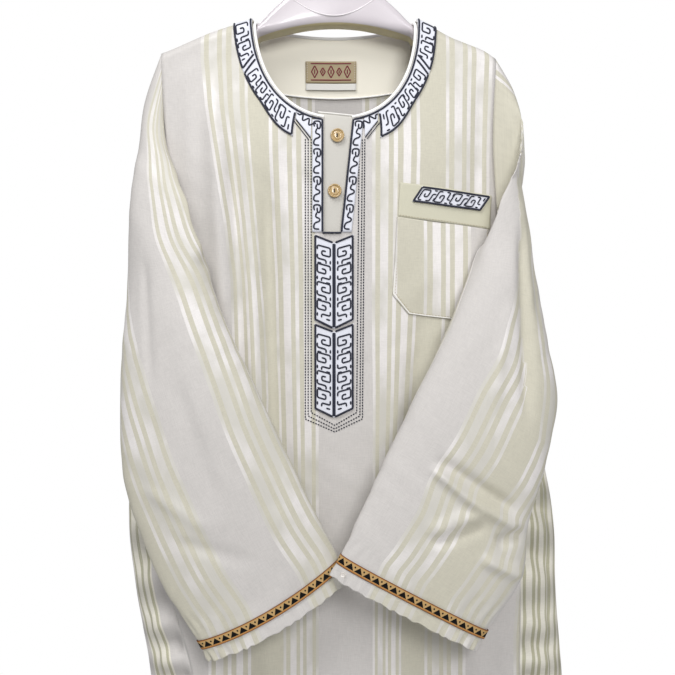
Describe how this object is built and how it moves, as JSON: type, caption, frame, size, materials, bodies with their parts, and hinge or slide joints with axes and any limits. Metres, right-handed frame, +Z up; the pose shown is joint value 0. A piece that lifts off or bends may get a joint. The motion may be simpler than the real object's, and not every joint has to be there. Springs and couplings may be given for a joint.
{
  "type": "thobe robe on a hanger",
  "caption": "Ready-made long-sleeved thobe in striped white cloth, with an embroidered neck and placket, a breast pocket and trimmed cuffs, on a white hanger with a metal hook.",
  "frame": {"origin": "inside the crown of the hanger's hook, where it rests on a rail", "axes": "+Z up, -Y towards the front of the robe, +X towards the wearer's left"},
  "size_m": [0.488, 0.1682, 1.2017],
  "materials": {
    "striped_cloth": "matt ground with satin stripes",
    "plain_cloth": "matt",
    "embroidery": "navy thread on white",
    "label_cloth": "woven",
    "ribbon": "woven",
    "button": "glossy",
    "stud": "glossy",
    "hanger": "glossy",
    "hook_metal": "polished"
  },
  "bodies": {
    "root": {"front_panel": "striped_cloth", "back_panel": "striped_cloth", "side_gore_right": "striped_cloth", "side_gore_left": "striped_cloth", "sleeve_right": "striped_cloth", "sleeve_left": "striped_cloth", "back_neck_facing": "striped_cloth", "pocket_bag": "striped_cloth", "pocket_band": "plain_cloth", "placket_underlap": "plain_cloth", "neck_piping": "plain_cloth", "neck_band_left": "embroidery", "neck_band_right": "embroidery", "placket_strip_right": "embroidery", "placket_strip_left": "embroidery", "placket_panel_upper": "embroidery", "placket_panel_lower": "embroidery", "pocket_embroidery": "embroidery", "label": "label_cloth", "size_label": "plain_cloth", "cuff_ribbon_right": "ribbon", "cuff_ribbon_left": "ribbon", "button_1": "button", "button_2": "button", "cuff_stud": "stud", "hanger_body": "hanger", "hanger_collar": "hook_metal", "hanger_hook": "hook_metal"}
  },
  "joints": []
}
